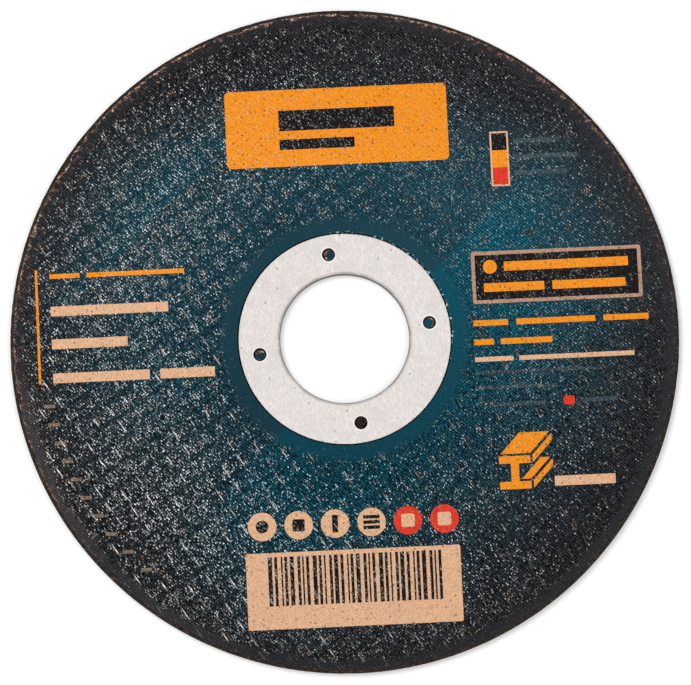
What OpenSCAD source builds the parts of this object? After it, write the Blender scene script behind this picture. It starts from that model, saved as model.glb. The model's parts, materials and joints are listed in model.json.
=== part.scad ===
// Thin cut off wheel for an angle grinder: a moulded abrasive disc, a paper label on its front
// and a drawn sheet-steel ring that lines the bore. Millimetres, +Z up, origin on the bore's axis
// in the plane of the back face. The label faces +Z, and the label's top is towards +Y.

/* [Wheel] */
// Outer diameter of the wheel
wheel_d = 115; // [100:1:230]
// Thickness of the wheel, label included
wheel_t = 1.2; // [1:0.1:3]
// Rounding of the rim's two edges
rim_round = 0.12; // [0.02:0.02:0.3]

/* [Label] */
// Thickness of the label's paper
label_t = 0.1; // [0.04:0.02:0.2]
// Width of the bare rim that the label leaves
label_margin = 0.5; // [0.2:0.1:5]

/* [Arbor ring] */
// Bore that sits on the grinder's flange
bore_d = 22.23; // [16:0.01:25.4]
// Outer diameter of the ring's flange
flange_d = 36.5; // [32:0.5:44]
// Thickness of the ring's sheet metal
sheet_t = 0.3; // [0.2:0.05:0.4]
// Height of the flange's top above the label
flange_proud = 0.1; // [0.02:0.02:0.2]
// Rounding of the flange's outer top edge
flange_round = 0.14; // [0.04:0.02:0.18]
// Inside radius of the bend between flange and collar
bend_inside = 0.15; // [0.06:0.01:0.25]
// Height of the collar's end above the back face
collar_recess = 0.06; // [0:0.02:0.2]

/* [Anchors] */
// Number of pierced anchors round the flange
anchor_count = 4; // [3:1:6]
// Hole through an anchor
anchor_d = 2.1; // [1.4:0.1:2.6]
// Turn of the first anchor from the +X axis, in degrees
anchor_turn = 8.2; // [0:0.2:90]
// Rounding of an anchor's mouth, where the sheet is drawn in
mouth_round = 0.18; // [0.04:0.02:0.18]
// Wall of the lip that an anchor leaves under the flange
lip_wall = 0.15; // [0.08:0.01:0.25]
// Depth of the lip below the flange
lip_depth = 0.4; // [0.2:0.05:0.5]

/* [Glass fabric] */
// Distance from thread to thread of the glass fabric
fabric_pitch = 3.2; // [2.5:0.1:6]
// Width of a thread's ridge on the back
thread_w = 0.9; // [0.4:0.1:1.5]
// Depth of the windows between the ridges
window_depth = 0.06; // [0.02:0.01:0.1]
// Turn of the fabric from the +X axis, in degrees
fabric_turn = 30; // [0:1:90]
// Radius of the smooth middle where the grinder's flange presses
smooth_r = 21.5; // [20:0.5:30]
// Width of the smooth band along the rim
smooth_rim = 2; // [0.5:0.1:5]

/* [Fits] */
// Gap between the flange's edge and the label's step
flange_gap = 0.1; // [0.04:0.02:0.3]
// Gap round the collar and the anchors' lips
seat_gap = 0.03; // [0.02:0.01:0.1]

/* [Hidden] */
$fn = 96;
// Overrun of a cutting tool past the face that it opens
cut_over = 0.2;

// Heights, from the back face up
body_t = wheel_t - label_t;
flange_top = wheel_t + flange_proud;
flange_under = flange_top - sheet_t;
seat_z = flange_under - label_t;
lip_end = flange_under - lip_depth;

// Radii of the disc and the label
wheel_r = wheel_d / 2;
label_r = wheel_r - label_margin;
bend_outside = bend_inside + sheet_t;
bore_r = bore_d / 2;
collar_r = bore_r + sheet_t;
bend_r = bore_r + bend_outside;
bend_z = flange_top - bend_outside;
disc_bore_r = collar_r + seat_gap;
label_bore_r = bend_r + seat_gap;
flange_r = flange_d / 2;
label_step_r = flange_r + flange_gap;
seat_r = label_step_r + label_t;

// The anchors stand midway between the collar and the flange's edge
anchor_pitch_r = (collar_r + flange_r) / 2;
anchor_r = anchor_d / 2;
lip_r = anchor_r + lip_wall;

// Rectangle between two corners of a section, given as [radius, height]
module block(low, high) {
    translate(low)
        square(high - low);
}

// Quarter of a round bar's section that opens outwards (side 1) or inwards (side -1) above its centre
module upper_quarter(centre, radius, side) {
    intersection() {
        translate(centre)
            circle(radius);
        translate(centre - [side < 0 ? radius : 0, 0])
            square(radius);
    }
}

// Repeat something at every anchor
module at_anchors() {
    for (i = [0 : anchor_count - 1])
        rotate(anchor_turn + i * 360 / anchor_count)
            translate([anchor_pitch_r, 0, 0])
                children();
}

// Round slot that an anchor's lip has cut, from a floor up past the flange
module lip_slot(floor_z) {
    translate([0, 0, floor_z])
        difference() {
            cylinder(r = lip_r + seat_gap, h = flange_top - floor_z);
            translate([0, 0, -cut_over])
                cylinder(r = anchor_r - seat_gap, h = flange_top - floor_z + 2 * cut_over);
        }
}

// Section of the disc: a flat plate with rounded rim edges, less the seat for label and flange
module disc_section() {
    rim_r = wheel_r - rim_round;
    difference() {
        union() {
            block([disc_bore_r, 0], [rim_r, body_t]);
            block([rim_r, rim_round], [wheel_r, body_t - rim_round]);
            translate([rim_r, rim_round])
                circle(rim_round);
            translate([rim_r, body_t - rim_round])
                circle(rim_round);
        }
        block([disc_bore_r - cut_over, seat_z], [seat_r, body_t + cut_over]);
        // Chamfer that clears the ring's bend
        polygon([
            [disc_bore_r - cut_over, seat_z + cut_over],
            [disc_bore_r - cut_over, seat_z - bend_inside - cut_over],
            [disc_bore_r + bend_inside + cut_over, seat_z + cut_over]
        ]);
    }
}

// Section of the label: flat on the front, bent over the seat's edge and down under the flange
module label_section() {
    block([seat_r, body_t], [label_r, wheel_t]);
    upper_quarter([seat_r, body_t], label_t, -1);
    block([label_step_r, seat_z], [seat_r, body_t]);
    block([label_bore_r, seat_z], [label_step_r, flange_under]);
}

// Section of the ring: collar, bend and flange of one even sheet
module ring_section() {
    edge_r = flange_r - flange_round;
    edge_z = flange_top - flange_round;
    block([bore_r, collar_recess], [collar_r, bend_z]);
    difference() {
        upper_quarter([bend_r, bend_z], bend_outside, -1);
        translate([bend_r, bend_z])
            circle(bend_inside);
    }
    block([bend_r, flange_under], [edge_r, flange_top]);
    block([edge_r, flange_under], [flange_r, edge_z]);
    upper_quarter([edge_r, edge_z], flange_round, 1);
}

// Shape that pierces an anchor: a drill that widens to a rounded mouth at the flange's top
module anchor_pierce() {
    mouth_r = anchor_r + mouth_round;
    mouth_z = flange_top - mouth_round;
    rotate_extrude()
        difference() {
            union() {
                block([0, lip_end - cut_over], [anchor_r, flange_top + cut_over]);
                block([0, mouth_z], [mouth_r, flange_top + cut_over]);
            }
            translate([mouth_r, mouth_z])
                circle(mouth_round);
        }
}

// Windows between the fabric's threads, those that lie whole between the smooth middle and rim
module fabric_windows() {
    half = (fabric_pitch - thread_w) / 2;
    reach = ceil(wheel_r / fabric_pitch);
    rotate(fabric_turn)
        for (i = [-reach : reach - 1], j = [-reach : reach - 1]) {
            x = (i + 0.5) * fabric_pitch;
            y = (j + 0.5) * fabric_pitch;
            near = norm([max(abs(x) - half, 0), max(abs(y) - half, 0)]);
            far = norm([abs(x) + half, abs(y) + half]);
            if (near > smooth_r && far < wheel_r - smooth_rim)
                translate([x - half, y - half, -cut_over])
                    cube([2 * half, 2 * half, window_depth + cut_over]);
        }
}

// Moulded abrasive body, with the glass fabric pressed into it
module abrasive_disc() {
    color("#2b2a2b")
        difference() {
            rotate_extrude()
                disc_section();
            at_anchors()
                lip_slot(lip_end - seat_gap);
            fabric_windows();
        }
}

// Paper label; each anchor punches a small round plug out of it, which stays in the hole
module printed_label() {
    color("#24505b")
        difference() {
            rotate_extrude()
                label_section();
            at_anchors()
                lip_slot(seat_z - cut_over);
        }
}

// Drawn steel ring with its pierced anchors
module arbor_ring() {
    color("#dfdcd8")
        difference() {
            union() {
                rotate_extrude()
                    ring_section();
                at_anchors()
                    translate([0, 0, lip_end])
                        cylinder(r = lip_r, h = lip_depth + sheet_t / 2);
            }
            at_anchors()
                anchor_pierce();
        }
}

abrasive_disc();
printed_label();
arbor_ring();
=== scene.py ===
# %% [markdown]
# # Dressing a cut off wheel
# The wheel is a thin abrasive disc with a printed paper label on its front and a pressed steel ring
# in its bore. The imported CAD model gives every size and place. This lesson adds what the eye sees:
# the glass fabric that shows through paper and grit, the torn edge of the label, the inks and the
# brushed metal. The first cell loads the CAD model as a fixed frame and keeps its box.

# %% Load the wheel
import json
import math
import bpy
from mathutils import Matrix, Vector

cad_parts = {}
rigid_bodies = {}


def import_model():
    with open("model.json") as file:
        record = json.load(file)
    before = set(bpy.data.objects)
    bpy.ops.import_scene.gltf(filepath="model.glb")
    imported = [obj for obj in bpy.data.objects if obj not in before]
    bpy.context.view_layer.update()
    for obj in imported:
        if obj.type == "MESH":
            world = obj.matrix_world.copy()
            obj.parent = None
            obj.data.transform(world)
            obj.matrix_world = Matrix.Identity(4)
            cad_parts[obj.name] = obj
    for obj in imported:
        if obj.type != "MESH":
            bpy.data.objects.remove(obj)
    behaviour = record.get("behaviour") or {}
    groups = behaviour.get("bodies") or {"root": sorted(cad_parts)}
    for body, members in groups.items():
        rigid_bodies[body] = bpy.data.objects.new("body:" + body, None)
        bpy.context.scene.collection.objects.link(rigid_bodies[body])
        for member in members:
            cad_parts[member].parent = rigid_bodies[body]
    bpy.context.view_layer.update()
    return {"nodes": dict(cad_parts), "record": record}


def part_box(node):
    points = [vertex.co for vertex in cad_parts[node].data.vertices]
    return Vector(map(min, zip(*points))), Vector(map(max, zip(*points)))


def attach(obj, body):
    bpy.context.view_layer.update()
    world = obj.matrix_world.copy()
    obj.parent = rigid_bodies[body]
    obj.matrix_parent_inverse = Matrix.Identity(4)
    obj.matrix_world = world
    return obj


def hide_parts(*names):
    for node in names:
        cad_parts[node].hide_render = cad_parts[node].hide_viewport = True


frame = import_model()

from types import SimpleNamespace

import bmesh
import bpy
import numpy as np
from mathutils import Vector
from mathutils.geometry import delaunay_2d_cdt

# %% [markdown]
# ## Sizes of the wheel
# A modeller could type the sizes in again, but two lists of sizes drift apart. So the radii and heights
# are read from the frame, in millimetres, and only the fits that no box shows are written here.

# %% Read the sizes
MM = 0.001
disc_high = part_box("abrasive_disc")[1] / MM
label_low, label_high = [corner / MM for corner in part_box("printed_label")]
ring_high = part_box("arbor_ring")[1] / MM
wheel_r = disc_high.x
body_top = disc_high.z
label_r = label_high.x
face_z = label_high.z
paper_t = face_z - body_top
seat_z = label_low.z
flange_r = ring_high.x
bore = next(m for m in frame["record"]["mounts"] if m["name"] == "arbor_bore")
bore_r = bore["dims"]["r_mm"]
sheet_t = ring_high.z - seat_z - paper_t
SEAT_GAP = 0.03
FLANGE_GAP = 0.1
BEND_INSIDE = 0.15
step_r = flange_r + FLANGE_GAP
seat_r = step_r + paper_t
hub_bore_r = bore_r + sheet_t + SEAT_GAP
print(f"wheel radius {wheel_r:.2f}, label radius {label_r:.2f} mm")
print(f"face at {face_z:.2f}, steel sheet {sheet_t:.2f} mm")

# %% [markdown]
# ## The camera
# The picture looks almost straight down. The rim is a little less high than wide and the bore sits a
# little above the middle of the rim: the first gives the tilt of the view, the second its distance.
# The camera could be nudged by eye, but three measured pixels place it for good.

# %% Place the camera
PHOTO_W, PHOTO_H = 691, 685
RIM_HALF_PX = 334.65
BORE_X_PX, BORE_Y_PX = 344.7, 338.5
VIEW_AZIMUTH = math.radians(-2.65)
VIEW_ELEVATION = math.radians(82.3)
VIEW_DISTANCE = 0.78
SENSOR_MM = 36.0

level = math.cos(VIEW_ELEVATION)
back = Vector((math.sin(VIEW_AZIMUTH) * level, -math.cos(VIEW_AZIMUTH) * level, math.sin(VIEW_ELEVATION)))
right = Vector((math.cos(VIEW_AZIMUTH), math.sin(VIEW_AZIMUTH), 0))
up = back.cross(right)
metres_per_px = wheel_r * MM / RIM_HALF_PX
aim = Vector((0, 0, ring_high.z * MM))
aim += right * (PHOTO_W / 2 - BORE_X_PX) * metres_per_px
aim -= up * (PHOTO_H / 2 - BORE_Y_PX) * metres_per_px
camera = bpy.data.objects.new("camera", bpy.data.cameras.new("camera"))
bpy.context.scene.collection.objects.link(camera)
camera.location = aim + back * VIEW_DISTANCE
camera.rotation_mode = "QUATERNION"
camera.rotation_quaternion = (-back).to_track_quat("-Z", "Y")
camera.data.sensor_width = SENSOR_MM
camera.data.lens = SENSOR_MM * VIEW_DISTANCE / (metres_per_px * PHOTO_W)
camera.data.clip_start = 0.01
camera.data.clip_end = 20
bpy.context.scene.camera = camera
bpy.context.scene.view_settings.view_transform = "Standard"
print(f"lens {camera.data.lens:.0f} mm at {VIEW_DISTANCE} m")

# %% [markdown]
# ## Wiring shader nodes
# Every finish below is a small graph of shader nodes. Adding a node, setting its values and linking it
# takes three calls each time, so one helper does it: whatever is a socket gets linked, whatever is a
# number gets set. Its other methods are short names for sums that come up again and again: `rest` is one
# less the value, `line` is slope times value plus start, `span` eases from one value to another, and
# `fall` eases from 1 to 0.

# %% A helper for shader graphs
HALF = (0.5, 0.5, 0.5)


class Wires:
    def __init__(self, tree):
        self.tree = tree

    def node(self, kind, inputs=None, **settings):
        made = self.tree.nodes.new("ShaderNode" + kind)
        for name, value in settings.items():
            setattr(made, name, value)
        for key, value in (inputs or {}).items():
            self.feed(made.inputs[key], value)
        return made

    def feed(self, socket, value):
        if isinstance(value, bpy.types.NodeSocket):
            self.tree.links.new(value, socket)
        else:
            socket.default_value = value

    def math(self, operation, a, b=0.0, c=0.0):
        return self.node("Math", {0: a, 1: b, 2: c}, operation=operation).outputs[0]

    def times(self, product, *others):
        for other in others:
            product = self.math("MULTIPLY", product, other)
        return product

    def plus(self, total, *others):
        for other in others:
            total = self.math("ADD", total, other)
        return total

    def rest(self, value):
        return self.math("SUBTRACT", 1.0, value)

    def line(self, value, slope, start):
        return self.math("MULTIPLY_ADD", value, slope, start)

    def span(self, value, low, high, to_low=0.0, to_high=1.0):
        ends = {"Value": value, "From Min": low, "From Max": high, "To Min": to_low, "To Max": to_high}
        return self.node("MapRange", ends, interpolation_type="SMOOTHSTEP").outputs[0]

    def fall(self, value, low, high):
        return self.span(value, low, high, 1.0, 0.0)

    def vector(self, operation, a, b=(0, 0, 0), c=(0, 0, 0)):
        return self.node("VectorMath", {0: a, 1: b, 2: c}, operation=operation).outputs[0]

    def measure(self, operation, a, b=(0, 0, 0)):
        return self.node("VectorMath", {0: a, 1: b}, operation=operation).outputs[1]

    def scaled(self, vector, factor):
        return self.node("VectorMath", {0: vector, 3: factor}, operation="SCALE").outputs[0]

    def axes(self, vector):
        return self.node("SeparateXYZ", {0: vector}).outputs

    def mix(self, factor, a, b):
        return self.node("Mix", {0: factor, 6: a, 7: b}, data_type="RGBA").outputs[2]

    def noise(self, place, scale, detail=2.0, roughness=0.5):
        ends = {"Vector": place, "Scale": scale, "Detail": detail, "Roughness": roughness}
        return self.node("TexNoise", ends).outputs[0]

    def curve(self, value, stops):
        made = self.node("ValToRGB", {0: value})
        ramp = made.color_ramp
        while len(ramp.elements) < len(stops):
            ramp.elements.new(1.0)
        for element, (position, level) in zip(ramp.elements, stops):
            element.position = position
            element.color = (level, level, level, 1)
        return made.outputs[0]


def rgb(red, green, blue):
    """A colour written as 0 to 255 on a screen, as the linear colour that a shader wants."""
    shares = [channel / 255 for channel in (red, green, blue)]
    return (*[s / 12.92 if s <= 0.04045 else ((s + 0.055) / 1.055) ** 2.4 for s in shares], 1.0)


def new_finish(name):
    """A fresh material, with its wires and its main shader."""
    finish = bpy.data.materials.new(name)
    finish.use_nodes = True
    return finish, Wires(finish.node_tree), finish.node_tree.nodes["Principled BSDF"]


print("orange ink as a linear colour:", [round(c, 3) for c in rgb(250, 160, 45)])

# %% [markdown]
# ## Floor and light
# The wheel lies on a plain white floor under soft light. The floor could be lit until it burns out, but
# then the label would burn out too. Instead the lamps stay at a plain level, and the floor adds a little
# white of its own to what the camera and mirrors see, so its shadow stays. Seen from below it lets view
# and light through, and a third lamp stands there, so that the back of the wheel can be looked at too.

# %% Floor
FLOOR_HALF = 3.0
FLOOR_DROP = 0.00002
FLOOR_GLOW = 0.22
floor_mesh = bpy.data.meshes.new("floor")
corners = [(x * FLOOR_HALF, y * FLOOR_HALF, -FLOOR_DROP) for x, y in ((-1, -1), (1, -1), (1, 1), (-1, 1))]
floor_mesh.from_pydata(corners, [], [(0, 1, 2, 3)])
floor = bpy.data.objects.new("floor", floor_mesh)
bpy.context.scene.collection.objects.link(floor)
floor.visible_shadow = False


def seen_directly(w):
    """1 for rays from the camera, from mirrors and through glass, 0 for the rays that light things."""
    rays = w.node("LightPath")
    mirror = w.math("MAXIMUM", rays.outputs["Is Glossy Ray"], rays.outputs["Is Transmission Ray"])
    return w.math("MAXIMUM", rays.outputs["Is Camera Ray"], mirror)


floor_finish, w, shader = new_finish("white floor")
shader.inputs["Base Color"].default_value = rgb(240, 240, 240)
shader.inputs["Roughness"].default_value = 0.9
shader.inputs["Emission Color"].default_value = (1, 1, 1, 1)
w.feed(shader.inputs["Emission Strength"], w.times(seen_directly(w), FLOOR_GLOW))
through = w.node("BsdfTransparent").outputs[0]
under = w.node("NewGeometry").outputs["Backfacing"]
mixed = w.node("MixShader", {0: under, 1: shader.outputs[0], 2: through}).outputs[0]
w.feed(floor_finish.node_tree.nodes["Material Output"].inputs["Surface"], mixed)
floor_mesh.materials.append(floor_finish)
print("floor", 2 * FLOOR_HALF, "m wide")

# %% Light
world = bpy.data.worlds.new("studio")
world.use_nodes = True
bpy.context.scene.world = world
w = Wires(world.node_tree)
sky = world.node_tree.nodes["Background"]
sky.inputs["Color"].default_value = (1, 1, 1, 1)
SKY_LIGHT = 0.6
w.feed(sky.inputs["Strength"], w.span(seen_directly(w), 0, 1, SKY_LIGHT, 1.0))


def soft_box(name, place, size, watts):
    """A square lamp that faces the wheel."""
    lamp = bpy.data.objects.new(name, bpy.data.lights.new(name, "AREA"))
    lamp.data.size = size
    lamp.data.energy = watts
    lamp.location = place
    lamp.rotation_mode = "QUATERNION"
    lamp.rotation_quaternion = (-Vector(place)).to_track_quat("-Z", "Y")
    lamp.visible_camera = False
    lamp.visible_glossy = False
    bpy.context.scene.collection.objects.link(lamp)
    print(name, "at", place, watts, "W")


soft_box("key_light", (-0.45, 0.3, 0.75), 0.55, 3.9)
soft_box("fill_light", (0.6, -0.5, 0.8), 0.7, 1.8)
soft_box("under_light", (-0.5, 0.4, -0.7), 0.5, 4.0)

# %% [markdown]
# ## Relief
# Paper and grit follow the glass fabric that is pressed into the wheel: two sets of threads that cross,
# each going over and under the other. Front and back have a sheet of fabric each, laid at its own angle.
# A sculptor could model each thread, but a height formula is enough, as the wheel only shows the
# threads' tops. Fixed random numbers give the grit, so that every run makes the same wheel.

# %% Heights of fabric and grit
FACE_PITCH, FACE_TURN = 3.3, math.radians(33)
BACK_PITCH, BACK_TURN = 3.2, math.radians(30)
THREAD_HALF_W = 0.62


def smooth(value, low, high):
    """0 below low, 1 above high and an even slope between."""
    t = np.clip((value - low) / (high - low), 0, 1)
    return t * t * (3 - 2 * t)


def fixed_random(column, row, seed):
    """The same number from 0 to 1 each time for a cell of a grid."""
    n = column.astype(np.int64) * 374761393 + row.astype(np.int64) * 668265263 + seed * 974634777
    n = (n ^ (n >> 13)) & 0xFFFFFFFF
    n = (n * 1274126177) & 0xFFFFFFFF
    return ((n ^ (n >> 16)) & 0xFFFF) / 65535


def bumps(x, y, size, seed):
    """Smooth random heights from 0 to 1, with bumps of about one size."""
    column, row = np.floor(x / size), np.floor(y / size)
    a, b = smooth(x / size - column, 0, 1), smooth(y / size - row, 0, 1)
    low = fixed_random(column, row, seed) * (1 - a) + fixed_random(column + 1, row, seed) * a
    high = fixed_random(column, row + 1, seed) * (1 - a) + fixed_random(column + 1, row + 1, seed) * a
    return low * (1 - b) + high * b


def fabric(x, y, pitch, turn):
    """Height of the fabric, from 0 in a window to 1 on a thread that passes over."""
    u = (x * math.cos(turn) + y * math.sin(turn)) / pitch
    v = (y * math.cos(turn) - x * math.sin(turn)) / pitch
    across_u, across_v = (u - np.round(u)) * pitch, (v - np.round(v)) * pitch
    warp = np.exp(-((across_u / THREAD_HALF_W) ** 2)) * (0.8 + 0.2 * np.cos(math.pi * (v + np.round(u))))
    weft = np.exp(-((across_v / THREAD_HALF_W) ** 2)) * (0.8 - 0.2 * np.cos(math.pi * (u + np.round(v))))
    return np.maximum(warp, weft)


SMOOTH_MIDDLE_R = 21.5
SMOOTH_RIM_W = 2.0
MIDDLE_EDGE = (SMOOTH_MIDDLE_R - 1, SMOOTH_MIDDLE_R + 1.5)
RIM_EDGE = (wheel_r - SMOOTH_RIM_W - 1, wheel_r - 1)


def rough_zone(r):
    """1 where the fabric shows, 0 in the smooth middle and along the rim."""
    return smooth(r, *MIDDLE_EDGE) * (1 - smooth(r, *RIM_EDGE))


FACE_RELIEF = 0.075


def face_height(x, y):
    """Height of the label's face in millimetres: never above the flat face of the CAD label."""
    dips = (1 - fabric(x, y, FACE_PITCH, FACE_TURN)) * 0.75 + bumps(x, y, 0.7, 1) * 0.25
    return face_z - FACE_RELIEF * dips * rough_zone(np.hypot(x, y))


print(f"the face dips {FACE_RELIEF} mm between threads {FACE_PITCH} mm apart")

# %% [markdown]
# ## Turning round pieces
# Disc and label are rings, so both are turned like wood on a lathe: a section is carried round the axis.
# Blender's Screw modifier would do that for a plain section. Here each ring may wander in and out and up
# and down as it goes round, so the rings are worked out as arrays and joined by four-sided faces.

# %% The lathe
ROUND_STEPS = 640


def ring_of(r, z, steps=ROUND_STEPS, centre=(0, 0)):
    """One ring of points; r and z are numbers, or one number for each step."""
    angle = np.linspace(0, 2 * math.pi, steps, endpoint=False)
    r, z = np.broadcast_to(r, steps), np.broadcast_to(z, steps)
    return np.stack([centre[0] + r * np.cos(angle), centre[1] + r * np.sin(angle), z], axis=-1)


def new_piece(name, points, faces):
    """A mesh object from points in millimetres, with its faces turned outwards."""
    mesh = bpy.data.meshes.new(name)
    mesh.from_pydata((np.asarray(points) * MM).tolist(), [], faces)
    work = bmesh.new()
    work.from_mesh(mesh)
    bmesh.ops.recalc_face_normals(work, faces=work.faces)
    work.to_mesh(mesh)
    work.free()
    mesh.shade_smooth()
    mesh.set_sharp_from_angle(angle=math.radians(50))
    piece = bpy.data.objects.new(name, mesh)
    bpy.context.scene.collection.objects.link(piece)
    return piece


def lathe(name, rings):
    """A closed piece from rings that go once round its section."""
    rings = np.array(rings)
    count, steps = rings.shape[:2]
    i, j = np.meshgrid(np.arange(count), np.arange(steps), indexing="ij")
    ahead, beside = (i + 1) % count, (j + 1) % steps
    here, there = i * steps, ahead * steps
    quads = np.stack([here + j, here + beside, there + beside, there + j], axis=-1)
    return new_piece(name, rings.reshape(-1, 3), quads.reshape(-1, 4).tolist())


def turned(name, section, steps=192, centre=(0, 0)):
    """A closed piece from a plain section of (radius, height) corners."""
    return lathe(name, [ring_of(r, z, steps, centre) for r, z in section])


def cut_away(piece, tools):
    """Cuts tools out of a piece for good, and removes the tools."""
    for tool in tools:
        saw = piece.modifiers.new("cut", "BOOLEAN")
        saw.operation = "DIFFERENCE"
        saw.solver = "EXACT"
        saw.object = tool
        bpy.context.view_layer.objects.active = piece
        bpy.ops.object.modifier_apply(modifier=saw.name)
        bpy.data.objects.remove(tool)


def join(name, pieces):
    """Several pieces as one object."""
    bpy.ops.object.select_all(action="DESELECT")
    for piece in pieces:
        piece.select_set(True)
    bpy.context.view_layer.objects.active = pieces[0]
    bpy.ops.object.join()
    pieces[0].name = name
    return pieces[0]


print("the lathe takes", ROUND_STEPS, "steps a turn")

# %% [markdown]
# ## The anchors' places
# The steel ring holds on by four pierced holes whose lips bite through the label into the disc. The lips
# leave a round slot in both, and a small plug of label stays in each hole.

# %% Where the anchors are
ANCHOR_COUNT = 4
ANCHOR_TURN = math.radians(8.2)
ANCHOR_HOLE_R = 1.05
LIP_WALL = 0.15
LIP_DEPTH = 0.4
anchor_pitch_r = (bore_r + sheet_t + flange_r) / 2
plug_r = ANCHOR_HOLE_R - SEAT_GAP
slot_r = ANCHOR_HOLE_R + LIP_WALL + SEAT_GAP
slot_z = seat_z + paper_t - LIP_DEPTH - SEAT_GAP
anchor_places = [
    (anchor_pitch_r * math.cos(turn), anchor_pitch_r * math.sin(turn))
    for turn in (ANCHOR_TURN + k * 2 * math.pi / ANCHOR_COUNT for k in range(ANCHOR_COUNT))
]
print("anchors at", [(round(x, 2), round(y, 2)) for x, y in anchor_places])

# %% [markdown]
# ## The abrasive body
# Grain, resin and glass fabric are pressed into one plate. On the back the threads stand up as a grid,
# and the rim is the raw broken edge of the grit. A bump texture would fake both from afar, but the rim's
# outline and the grid also show in the bare mesh, so they are real heights. The hub under the ring is
# turned apart, smooth, with the slots that the anchors' lips have cut.

# %% Turn the body
BACK_RELIEF = 0.07
GRIT_RELIEF = 0.02
GRIT_FINE = 0.004
RIM_ROUND = 0.12
RIM_GRIT = 0.09
RIM_NICK = 0.12
RIM_SPARE = 0.002
BACK_RING_STEP = 0.4
CUT_SPARE = 0.2


def back_height(x, y):
    """Height of the back: the threads' tops lie on the floor, the windows are pressed in."""
    zone = rough_zone(np.hypot(x, y))
    threads = fabric(x, y, BACK_PITCH, BACK_TURN)
    windows = BACK_RELIEF * (1 - threads) + GRIT_RELIEF * bumps(x, y, 0.6, 3)
    return windows * zone + GRIT_FINE * bumps(x, y, 0.8, 4)


def grit_r(r, z):
    """A rim ring's radius, broken by grains and a few larger nicks."""
    plain = ring_of(r, z)
    x, y = plain[:, 0] + 5 * z, plain[:, 1] - 4 * z
    grains = bumps(x, y, 0.55, 5) ** 2
    nicks = smooth(bumps(x, y, 2.2, 6), 0.82, 1.0)
    return r - RIM_SPARE - RIM_GRIT * grains - RIM_NICK * nicks


def body_rings():
    rings = []
    for r in np.arange(seat_r, wheel_r - RIM_ROUND, BACK_RING_STEP):
        flat = ring_of(r, 0)
        rings.append(ring_of(r, back_height(flat[:, 0], flat[:, 1])))
    for angle in np.radians((-75, -45, -15)):
        z = RIM_ROUND * (1 + math.sin(angle))
        rings.append(ring_of(grit_r(wheel_r - RIM_ROUND * (1 - math.cos(angle)), z), z))
    for z in np.linspace(0.25, body_top - 0.25, 5):
        rings.append(ring_of(grit_r(wheel_r, z), z))
    for angle in np.radians((15, 45, 75)):
        z = body_top - RIM_ROUND * (1 - math.sin(angle))
        rings.append(ring_of(grit_r(wheel_r - RIM_ROUND * (1 - math.cos(angle)), z), z))
    for r in (wheel_r - 0.3, wheel_r - 0.6, wheel_r - 2, seat_r):
        rings.append(ring_of(r, body_top))
    return rings


body = lathe("abrasive_body", body_rings())
hub_section = [
    (hub_bore_r, 0.0),
    (seat_r, 0.0),
    (seat_r, seat_z),
    (hub_bore_r + BEND_INSIDE, seat_z),
    (hub_bore_r, seat_z - BEND_INSIDE),
]
hub = turned("hub", hub_section)
slot_top = seat_z + CUT_SPARE
slot_section = [(plug_r, slot_z), (slot_r, slot_z), (slot_r, slot_top), (plug_r, slot_top)]
cut_away(hub, [turned("slot", slot_section, 48, place) for place in anchor_places])
body = join("abrasive_body", [body, hub])
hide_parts("abrasive_disc")
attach(body, "root")
print("abrasive body:", len(body.data.polygons), "faces")

# %% [markdown]
# ## The label
# A sheet of printed paper is pressed over the front, and its cut edge frays: the printed skin breaks back
# a little further than the brown paper under it. So the outline wanders, and a narrow sloping band of bare
# paper is left along it. The paper bends over the edge of the seat and runs on under the ring.

# %% Turn the label
FACE_RING_STEP = 0.36
BAND_MIN = 0.05
BAND_MAX = 0.45
CHIP_MAX = 0.5
BARE_LEAN = -0.35
BARE_SPAN = (-35, 45)
rim_circle = ring_of(label_r, 0)
rim_x, rim_y = rim_circle[:, 0], rim_circle[:, 1]
chips = 0.12 * bumps(rim_x, rim_y, 0.9, 11) + CHIP_MAX * smooth(bumps(rim_x, rim_y, 2.6, 12), 0.72, 1.0)
paper_edge = label_r - chips
band = smooth(bumps(rim_x, rim_y, 1.9, 13), 0.38, 0.9) * (0.4 + 0.6 * bumps(rim_x, rim_y, 0.8, 14))
band *= 0.1 + 0.9 * smooth(rim_y + BARE_LEAN * rim_x, *BARE_SPAN)
print_edge = paper_edge - BAND_MIN - BAND_MAX * band


def label_rings():
    rings = [ring_of(step_r, seat_z), ring_of(step_r, body_top)]
    for angle in np.radians((150, 120, 90)):
        rings.append(ring_of(seat_r + paper_t * math.cos(angle), body_top + paper_t * math.sin(angle)))
    for share in np.linspace(0, 1, round((label_r - seat_r) / FACE_RING_STEP))[1:]:
        r = seat_r + (print_edge - seat_r) * share
        flat = ring_of(r, 0)
        rings.append(ring_of(r, face_height(flat[:, 0], flat[:, 1])))
    printed = len(rings) - 1
    frayed = 0.03 * bumps(rim_x, rim_y, 0.5, 15)
    rings.append(ring_of(print_edge + 0.3 * (paper_edge - print_edge), face_z - 0.2 * paper_t - frayed))
    rings.append(ring_of(paper_edge, body_top + 0.3 * paper_t))
    rings.append(ring_of(paper_edge, body_top))
    rings += [ring_of(seat_r, body_top), ring_of(seat_r, seat_z)]
    return rings, printed


rings, last_printed_ring = label_rings()
label = lathe("label_sheet", rings)
torn = np.zeros(len(label.data.polygons), dtype=np.int32)
torn[last_printed_ring * ROUND_STEPS : (last_printed_ring + 3) * ROUND_STEPS] = 1
print(f"label: {len(label.data.polygons)} faces, edge chipped by up to {chips.max():.2f} mm")
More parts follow.
